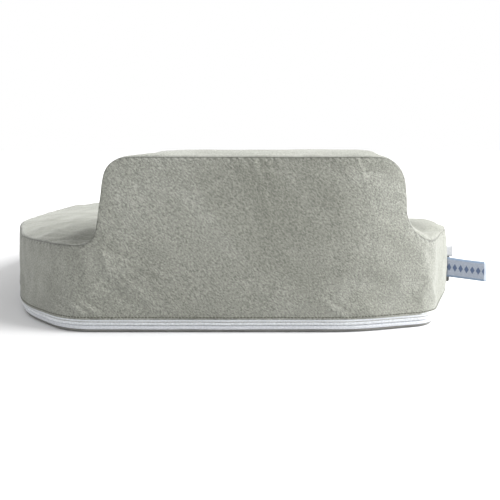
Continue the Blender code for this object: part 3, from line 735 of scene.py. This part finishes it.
def subdivide(piece, seams):
    """One smooth subdivision that keeps the seams sharp."""
    creases = piece.data.attributes.new("crease_edge", "FLOAT", "EDGE")
    creases.data.foreach_set("value", [float(on_seam) for on_seam in edges_in(piece.data, seams)])
    finer = piece.modifiers.new("finer", "SUBSURF")
    finer.levels = finer.render_levels = 1
    apply_modifiers(piece)


def envelope(value, middle, reach):
    return np.exp(-(((value - middle) / reach) ** 2))


def fade(value, length):
    """1 up to a value of 0, and falling off over length beyond it."""
    return np.exp(-np.clip(value, 0, None) / length)


def smooth_noise(points, scale, seed):
    """Noise at each point, with features of about this scale."""
    shift = Vector((seed, -2 * seed, 3 * seed))
    return np.array([noise.noise(Vector([value / scale for value in point]) + shift) for point in points])


def cover_relief(points, wall):
    """How far each point of the cover stands out for its wrinkles, in millimetres, and its painted shading,
    from -1 to 1: painted shade under the seams, along the folds and in the hollow, painted highlights along
    the pull lines, and some mottling of the pile. wall is 1 on the walls and 0 on the top."""
    x, y, z = points.T
    top, out = 1 - wall, np.abs(x)
    mm = sum(smooth_noise(points, scale, seed) * high for scale, seed, high in SWELLS)
    # Mottling of the pile across the front.
    nap_and_shading = 0.7 * smooth_noise(points * (0.8, 1.0, 0.25), 9.0, 61.0) * envelope(y, -210, 70) * wall
    # Painted shade just under the front wall's top seam, and under the armrest's top seam.
    nap_and_shading += 0.55 * wall * (z > 60) * fade(SEAM_HEIGHT - z, 9) * (y < FRONT_FOOT_Y)
    nap_and_shading += 0.35 * wall * fade(ARMREST_HEIGHT - z, 12)
    wander = smooth_noise(points, 26.0, 21.0)
    # Pull lines that fan down and back from the foot of each armrest's front.
    dy, dz = y - PULL_FOOT_Y, z - PULL_FOOT_Z
    for degrees, reach in PULL_LINES:
        angle = math.radians(degrees)
        along = dy * math.cos(angle) + dz * math.sin(angle)
        off = -dy * math.sin(angle) + dz * math.cos(angle) + 3.0 * wander
        here = wall * np.clip(along / 8, 0, 1) * fade(along, PULL_LONG * reach)
        mm += here * (1.0 * envelope(off, 0, 2.0) - 0.6 * envelope(off, 3.6, 2.4)) * (out > 150)
        # A painted highlight along the crest of each pull line.
        nap_and_shading -= here * 0.28 * envelope(off, 0.6, 1.5) * (out > 150)
    # Short upright creases under the armrest's top seam, and slack above the zip at the ends of the side.
    for crease, length, depth in TOP_CREASES:
        lean = y - crease - (ARMREST_HEIGHT - z) * 0.32 + 1.5 * wander
        here = wall * fade(ARMREST_HEIGHT - 4 - z, length) * (z > 90) * (out > 200)
        mm += here * depth * 0.5 * (envelope(lean, 0, 2.0) - 0.8 * envelope(lean, 4.0, 2.2))
    for crease in FOOT_CREASES:
        lean = (y - crease) * 0.55 + (z - FOOT_CREASE_Z) * 0.84 + 2 * wander
        here = wall * envelope(z, FOOT_CREASE_Z, 9) * envelope(y, crease, 12) * (out > 150)
        mm += here * 1.2 * (envelope(lean, 0, 2.2) - 0.7 * envelope(lean, 4.2, 2.4))
    # Folds that run along the front platform's top, gathered at the foot of each armrest.
    near = envelope(y, FRONT_FOOT_Y - 8, 46) * np.clip((out - 120) / 60, 0, 1) * top * (z < 92)
    ray = np.arctan2(out - 275, y - (FRONT_FOOT_Y + 18)) * 26 + 2.2 * wander
    mm += near * 0.9 * np.sin(ray)
    # Painted shade on one side of each fold.
    nap_and_shading += near * 0.18 * np.sin(ray + 0.8)
    streak = np.sin((y + 0.18 * out) / 4.6 + 2.6 * wander)
    mm += top * 0.5 * streak * envelope(y, -150, 60) * (z < 90) * (out > 60)
    # Painted shade along the streaks.
    nap_and_shading += top * 0.22 * streak * envelope(y, -150, 60) * (z < 90)
    # The hollow where the platform meets the armrest.
    hollow = envelope(out, 262, 18) * envelope(y, FRONT_FOOT_Y - 14, 14) * top * (z < 95)
    mm -= 1.4 * hollow
    # Painted shade in the hollow.
    nap_and_shading += 0.35 * envelope(out, 277, 11) * envelope(y, FRONT_FOOT_Y - 20, 15) * top * (z < 90)
    # The rear lobe is domed.
    mm += top * LOBE_DOME * envelope(y, 195, 22) * envelope(out, 175, 62) * (z < 95)
    return mm, np.clip(nap_and_shading, -1, 1)


def add_values(mesh, name, values):
    write(mesh.attributes.new(name, "FLOAT", "POINT").data, "value", values)


def edges_in(mesh, keys):
    """For each edge of the mesh, whether it is one of the given pairs of vertices."""
    keys = {tuple(sorted(key)) for key in keys}
    return [tuple(sorted(line.vertices)) in keys for line in mesh.edges]


def finish_cover(piece):
    """Wrinkles and the pinched seams, on the fine mesh."""
    mesh = piece.data
    seams, _ = seam_data(mesh)
    points, normals = read(mesh.vertices, "co", 3), read(mesh.vertices, "normal", 3)
    panel = read(mesh.attributes["panel"].data, "value")
    wall = np.zeros(len(mesh.vertices))
    for polygon in mesh.polygons:
        if panel[polygon.index]:
            wall[list(polygon.vertices)] = 1.0
    sewn = np.zeros(len(mesh.vertices), bool)
    sewn[sorted({v for key in seams for v in key})] = True
    place = points / MM + np.array((0, ORIGIN_Y, 0))
    mm, nap_and_shading = cover_relief(place, wall)
    pucker = smooth_noise(place, PUCKER_SCALE, 40.0)
    mm = np.where(sewn, SEAM_DEPTH + SEAM_PUCKER * pucker, mm)
    by_hem = (place[:, 2] < ZIP_TOP + 1.5) & ~sewn
    mm = np.where(by_hem, HEM_QUIET * mm, mm)
    set_points(mesh, points + normals * mm[:, None] * MM)
    # The plush's painted shading: painted shade and painted highlights, with mottling of the pile.
    add_values(mesh, "nap_and_shading", 0.5 + 0.5 * nap_and_shading)
    # The seams, for their painted shade in the plush's colour.
    add_values(mesh, "seam", sewn.astype(float))
    sharp = mesh.attributes.get("sharp_edge") or mesh.attributes.new("sharp_edge", "BOOLEAN", "EDGE")
    sharp.data.foreach_set("value", edges_in(mesh, seams))


def stitch_hem(cover):
    """Stitches along the outer wall's hem, on the cover's face, just above the zip. Their near-black thread
    is partly painted shade, standing in for the hem's shadow over the zip.
    """
    work = bmesh.new()
    work.from_mesh(cover.data)
    surface = BVHTree.FromBMesh(work)
    bars = []
    for i in range(int((END_SEAM - 4) / HEM_PITCH)):
        distance = (i + 0.5) * HEM_PITCH
        down, out, side = slope_axes(distance)
        above = zip_place(distance, 0, 0) - down * HEM_STITCH
        hit, _, _, _ = surface.ray_cast(row_place(above + out * 8), -out, 0.02)
        if hit:
            place = hit / MM + Vector((0, ORIGIN_Y, 0))
            bars.append((place - out * 0.15, side, down, out, HEM_PITCH * 0.76, *HEM_BAR))
    work.free()
    bars += [mirrored_bar(bar) for bar in bars]
    make_bars("hem_stitches_and_shade", bars, "plush_thread", "cushion")


def make_cover():
    piece = join_seams(*make_cover_shell())
    seams, hems = seam_data(piece.data)
    puff(piece, {v for key in seams + hems for v in key})
    subdivide(piece, seams)
    finish_cover(piece)
    piece.data.attributes.remove(piece.data.attributes["panel"])
    thicken(piece, COVER_THICK, -1.0)
    piece.data.materials.clear()
    piece.data.materials.append(MATERIALS["plush"])
    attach(piece, "cushion")
    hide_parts("cover_top_panel", "cover_outer_wall", "cover_inner_wall")
    stitch_hem(piece)


def rim(rows):
    """The outermost items of a grid, in order round it."""
    return rows[0] + [row[-1] for row in rows[1:-1]] + rows[-1][::-1] + [row[0] for row in rows[-2:0:-1]]


def make_bottom():
    """The bottom panel, with its rolled edge up to the zip's lower tape."""
    distances = evenly(END_OUTER, CELL)
    lips = ((ZIP_INSET + 0.9, 2.6), (ZIP_INSET + 1.0, 1.8), (ZIP_INSET + 1.8, 1.15))  # inset and height
    rows = both_sides([across(distance, BOTTOM_INSET, BOTTOM_THICK) for distance in distances])
    columns = len(rows[0])
    points = [point for row in rows for point in row]
    faces = grid_faces(len(rows), columns)
    last = rim([list(range(start, start + columns)) for start in range(0, len(points), columns)])
    for inset, z in reversed(lips):
        loop = [len(points) + n for n in range(len(last))]
        points += rim(both_sides([across(distance, inset, z) for distance in distances]))
        for a, b, c, d in zip(last, last[1:] + last[:1], loop[1:] + loop[:1], loop):
            faces.append((a, b, c, d))
        last = loop
    piece = add_mesh("cover_bottom", points, faces, "lining", angle=60)
    outward(piece, 1e-6, -1)
    thicken(piece, BOTTOM_THICK, 1.0)
    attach(piece, "cushion")
    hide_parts("cover_bottom_panel")


# ---- the zip ----


def ripple(distance):
    """The zip's slight waviness, in millimetres."""
    return 0.35 * math.sin(distance / 19) * math.sin(distance / 47 + 1) + 0.2 * math.sin(distance / 8.5)


def rippled(distance, down, out):
    """Point on the zip's slope, moved by the zip's waviness."""
    return zip_place(distance, down + RIPPLE_DOWN * ripple(distance), out + RIPPLE_OUT * ripple(distance))


def make_tape(name, node, down):
    """A zip tape between two places down the slope, with its top edge sunk."""
    middle, half_wide = sum(down) / 2, (down[1] - down[0]) / 2
    shape = ((-1, -2.8), (-1, -1.6), (-0.5, 1), (0.8, 1), (1, 0.4), (1, -1))
    rows = []
    for distance in evenly(END_SEAM - 0.6, TAPE_STEP):
        rows.append([rippled(distance, middle + u * half_wide, v * TAPE_HALF) for u, v in shape])
    piece = outward(add_mesh(name, *sweep_mesh(both_sides(rows)), "zip_tape"))
    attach(piece, "cushion")
    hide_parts(node)


def small_bar(centre, way, side, out, length, wide, high):
    """Points and faces of a small bar with a rounded back: along way, across side, standing on out."""
    profile = ((-0.5, 0.0), (-0.5, 0.55), (-0.22, 1.0), (0.22, 1.0), (0.5, 0.55), (0.5, 0.0))
    points = []
    for end, shrink in ((-0.5, 0.55), (-0.34, 1.0), (0.34, 1.0), (0.5, 0.55)):
        for u, v in profile:
            points.append(centre + way * end * length + side * u * wide * shrink + out * v * high * shrink)
    return sweep_mesh([points[i : i + 6] for i in range(0, 24, 6)])


def make_bars(name, bars, material, body, nodes=()):
    """One piece of many small bars, each (centre, way, side, out, length, wide, high)."""
    points, faces = [], []
    for bar in bars:
        some, cells = small_bar(*bar)
        faces += [tuple(len(points) + index for index in cell) for cell in cells]
        points += some
    piece = outward(add_mesh(name, points, faces, material, angle=60))
    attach(piece, body)
    if nodes:
        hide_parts(*nodes)


def slope_axes(distance):
    """Directions down the zip's slope, out of it and along it."""
    start = zip_place(distance, 0, 0)
    down = (zip_place(distance, 1, 0) - start).normalized()
    out = (zip_place(distance, 0, 1) - start).normalized()
    return down, out, down.cross(out).normalized()


def mirrored_bar(bar):
    centre, way, side, out, *sizes = bar
    return (*flipped([centre, way, side, out]), *sizes)


def make_zip():
    make_tape("zip_tape_upper", "zip_upper_tape", UPPER_TAPE)
    make_tape("zip_tape_lower", "zip_lower_tape", LOWER_TAPE)
    for level, down, shift in (("upper", UPPER_COIL, 0.0), ("lower", LOWER_COIL, 0.5)):
        bars = []
        for i in range(int((END_SEAM - 3) / COIL_PITCH)):
            distance = (i + 0.5 + shift) * COIL_PITCH
            way, out, side = slope_axes(distance)
            bars.append((rippled(distance, down, COIL_SUNK), way, side, out, *COIL_BAR))
        bars += [mirrored_bar(bar) for bar in bars]
        make_bars(f"zip_coil_{level}", bars, "zip_coil", "cushion", [f"zip_{level}_coil"])
    bars = []
    for down in ZIP_STITCHES:
        for i in range(int((END_SEAM - 4) / ZIP_STITCH_PITCH)):
            distance = (i + 0.5) * ZIP_STITCH_PITCH
            way, out, side = slope_axes(distance)
            bars.append((rippled(distance, down, ZIP_STITCH_OUT), side, way, out, *ZIP_STITCH_BAR))
    bars += [mirrored_bar(bar) for bar in bars]
    make_bars("zip_stitches", bars, "thread", "cushion")


# ---- strap ----

BUCKLE_END, PLUG_BAR_X = 75.0 - 1.2, -6.0 + 1.2
WEBBING_TURN, TURN_STEPS = 2.8, 10
KEEPER_X, KEEPER_LONG, TAIL_X = -36.0, 7.0, -72.0
BOX_NEAR, BOX_FAR, BOX_HALF = 87, 107, 10.5
STRAP_STITCH_PITCH, STRAP_STITCH_BAR = 2.6, (2.0, 0.5, 0.35)


def rounded_route(route, step=2.0):
    """The route's corners softened, with points about a step apart."""
    path = [Vector(route[0])]
    for a, b in zip(route, route[1:]):
        a, b = Vector(a), Vector(b)
        count = max(1, round((b - a).length / step))
        path += [a.lerp(b, i / count) for i in range(1, count + 1)]
    for _ in range(3):
        path = [path[0]] + [(p + 2 * q + r) / 4 for p, q, r in zip(path, path[1:], path[2:])] + [path[-1]]
    return path


def ribbon(route, low, high, thick):
    """Sections of a tape on edge along a route of (x, y) points, with soft selvedges."""
    sections = []
    for i, point in enumerate(route):
        way = (route[min(i + 1, len(route) - 1)] - route[max(i - 1, 0)]).normalized()
        side = Vector((-way.y, way.x)) * thick / 2
        shape = ((0.35, low), (1, low + 0.9), (1, (low + high) / 2), (1, high - 0.9), (0.35, high))
        section = [(point.x + side.x * u, point.y + side.y * u, z) for u, z in shape]
        section += [(point.x - side.x * u, point.y - side.y * u, z) for u, z in reversed(shape)]
        sections.append(section)
    return sections


def turn_back(x, direction):
    """Half a turn of the webbing round the bar at x."""
    angles = [math.radians(-90 + 180 / TURN_STEPS * i) for i in range(TURN_STEPS + 1)]
    turns = [(WEBBING_TURN * math.cos(angle), WEBBING_TURN * math.sin(angle)) for angle in angles]
    return [(x + direction * forward, STRAP_Y + up) for forward, up in turns]


def make_webbing(name, node, route):
    """Webbing that comes out of the end seam, on the side where its route starts, and turns along the route.
    """
    low, high = STRAP_Z - WEBBING_WIDE / 2, STRAP_Z + WEBBING_WIDE / 2
    sections = ribbon(rounded_route(route), low, high, WEBBING_THICK)
    piece = outward(add_mesh(name, *sweep_mesh(sections), "webbing", angle=50))
    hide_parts(node)
    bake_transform(piece)


def stitch_rows(lines, y, out_y):
    """Stitches along straight lines of (x, z) points on a face of the webbing."""
    bars = []
    out = Vector((0, out_y, 0))
    for (x0, z0), (x1, z1) in lines:
        way = Vector((x1 - x0, 0, z1 - z0))
        count = max(1, int(way.length / STRAP_STITCH_PITCH))
        way.normalize()
        side = way.cross(out)
        for i in range(count):
            centre = Vector((x0, y, z0)) + way * (i + 0.5) * STRAP_STITCH_PITCH
            bars.append((centre, way, side, out, *STRAP_STITCH_BAR))
    return bars


def make_strap():
    """The socket's short strap, doubled and sewn in a crossed box, and the plug's long one."""
    spread = (WEBBING_THICK + GAP) / 2
    seam_x, inside_y = SEAM_PLACE.x, SEAM_PLACE.y - 5
    inner = [(seam_x + 1.0, inside_y), (seam_x + 0.6, STRAP_Y - spread - 1.6)]
    inner += [(x, STRAP_Y - spread) for x in (seam_x - 3, BUCKLE_END + 6)]
    outer = [(BUCKLE_END + 6, STRAP_Y + spread), (seam_x - 2, STRAP_Y + spread)]
    outer += [(seam_x + 2.6, STRAP_Y - spread), (seam_x + 3.0, inside_y)]
    route = inner + turn_back(BUCKLE_END, -1) + outer
    make_webbing("strap_webbing_right", "buckle_strap", route)
    face = STRAP_Y + spread + WEBBING_THICK / 2 - 0.1
    low, high = STRAP_Z - BOX_HALF, STRAP_Z + BOX_HALF
    near_low, near_high, far_low, far_high = [(x, z) for x in (BOX_NEAR, BOX_FAR) for z in (low, high)]
    box = [(near_low, near_high), (far_low, far_high), (near_low, far_low), (near_high, far_high)]
    box += [(near_low, far_high), (near_high, far_low)]
    back = STRAP_Y - spread - WEBBING_THICK / 2 + 0.1
    bars = stitch_rows(box, face, 1) + stitch_rows(box, back, -1)
    make_bars("strap_stitches", bars, "dark_thread", "buckle_side")
    route = [(-seam_x - 1.0, inside_y), (-seam_x - 0.6, STRAP_Y - 2.2), (-seam_x + 2.6, STRAP_Y)]
    by_keeper = KEEPER_X + KEEPER_LONG + 12
    route.append((by_keeper, STRAP_Y))
    tail = [(x, STRAP_Y + WEBBING_THICK + GAP) for x in (by_keeper, TAIL_X)]
    route += turn_back(PLUG_BAR_X, 1) + tail
    make_webbing("strap_webbing_left", "waist_webbing", route)


# ---- labels ----

LABEL_STEPS, LABEL_LEVELS = 16, 8


def make_label(name, node, slot_name, start, long, high, droop, thick, spread, curl, flat):
    """A tape folded in half that stands on edge out of the seam, with a soft fold and a slight curl."""
    route = [(-spread / 2, long * i / LABEL_STEPS) for i in range(LABEL_STEPS)]
    route += [(-spread / 2 * math.cos(a), long - 1 + spread * math.sin(a)) for a in (0.6, 1.2, 1.9, 2.5)]
    route += [(spread / 2, long * (LABEL_STEPS - 1 - i) / LABEL_STEPS) for i in range(LABEL_STEPS)]
    lengths = [0.0]
    for a, b in zip(route, route[1:]):
        lengths.append(lengths[-1] + math.dist(a, b))
    levels = [i / LABEL_LEVELS for i in range(LABEL_LEVELS + 1)]
    points, uvs = [], []
    for point, length in zip(route, lengths):
        reach = max(point[1], 0) / long
        for level in levels:
            bow = curl * (reach**2) * (1 + 0.3 * math.sin(3 * level))
            drop = -droop * reach - 0.4 * math.sin(math.pi * reach) * level
            x = start[0] + point[0] + bow
            points.append((x, start[1] + point[1], start[2] + (level - 0.5) * high + drop))
            uvs.append((length / lengths[-1], level))
    piece = add_mesh(name, points, grid_faces(len(route), len(levels)), slot_name, angle=80)
    layer = piece.data.uv_layers.new(name="UVMap")
    for loop in piece.data.loops:
        layer.data[loop.index].uv = uvs[loop.vertex_index]
    thicken(piece, thick, 0.0)
    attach(piece, "cushion")
    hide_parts(node)


def make_labels():
    back = SEAM_PLACE.y - 2.0
    woven = {"start": (SEAM_PLACE.x + 6.5, back, 33.0), "long": 40.5, "high": 20.0, "flat": (0.020, 0.084)}
    woven |= {"droop": 5.2, "thick": 0.35, "spread": 1.2, "curl": 1.5}
    make_label("label_woven", "side_label", "label", **woven)
    care = {"start": (SEAM_PLACE.x + 3.0, back, 49.0), "long": 7.6, "high": 11.0, "flat": (0.011, 0.0155)}
    care |= {"droop": 0.4, "thick": 0.2, "spread": 0.9, "curl": 0.6}
    make_label("label_care", "care_label", "care_label", **care)


# ---- CAD pieces that stay, light, floor and camera ----


def finish_cad_nodes():
    """Gives every CAD piece its material. Those that a visible piece replaces are not seen."""
    slots = {part["node"]: part["material_slot"] for part in frame["record"]["subparts"]}
    for name, node in frame["nodes"].items():
        for index in range(max(1, len(node.material_slots))):
            if not node.material_slots:
                node.data.materials.append(None)
            node.material_slots[index].link = "OBJECT"
            node.material_slots[index].material = MATERIALS[slots[name]]


def make_light():
    light = bpy.data.lights.new("key", "AREA")
    light.shape = "RECTANGLE"
    light.size, light.size_y = KEY_SIZE
    light.energy = KEY_POWER
    lamp = link("key", light)
    lamp.location = KEY_PLACE
    lamp.rotation_euler = (Vector(KEY_TARGET) - Vector(KEY_PLACE)).to_track_quat("-Z", "Y").to_euler()


def make_stage():
    """A pale floor that glows softly away from the pillow, and an even white world."""
    made = Finish("floor", 0.85)
    made.colour(made.ramp(made.noise(3, 2), stops(FLOOR)))
    away = made.node("ShaderNodeVectorMath", {0: made.place}, operation="LENGTH").outputs["Value"]
    inputs = {0: away, 1: GLOW_FROM, 2: GLOW_TO, 3: 0.0, 4: GLOW}
    glow = made.node("ShaderNodeMapRange", inputs, interpolation_type="SMOOTHSTEP")
    made.shader.inputs["Emission Color"].default_value = (1, 1, 1, 1)
    made.tree.links.new(glow.outputs["Result"], made.shader.inputs["Emission Strength"])
    mesh = bpy.data.meshes.new("floor")
    corners = [(FLOOR_REACH * x, FLOOR_REACH * y, 0) for x, y in ((-1, -1), (1, -1), (1, 1), (-1, 1))]
    mesh.from_pydata(corners, [], [(0, 1, 2, 3)])
    mesh.materials.append(made.material)
    link("floor", mesh)
    world = bpy.data.worlds.new("studio")
    world.use_nodes = True
    background = world.node_tree.nodes["Background"]
    background.inputs["Color"].default_value = (1, 1, 1, 1)
    background.inputs["Strength"].default_value = 1.0
    bpy.context.scene.world = world
    bpy.context.scene.view_settings.view_transform = "Standard"


def make_camera():
    """From the height of the armrests, looking along -X and slightly down at the +X side."""
    camera = bpy.data.cameras.new("camera")
    camera.sensor_width = SENSOR
    camera.lens = LENS
    camera.shift_y = CAMERA_SHIFT
    camera.dof.use_dof = False
    holder = link("camera", camera)
    holder.location = CAMERA_PLACE
    holder.rotation_euler = (math.pi / 2 - math.atan(CAMERA_SLOPE), 0, math.pi / 2)
    bpy.context.scene.camera = holder


def main():
    make_camera()
    finish_cad_nodes()
    make_cover()
    make_bottom()
    make_zip()
    make_strap()
    make_labels()
    make_stage()
    make_light()


main()
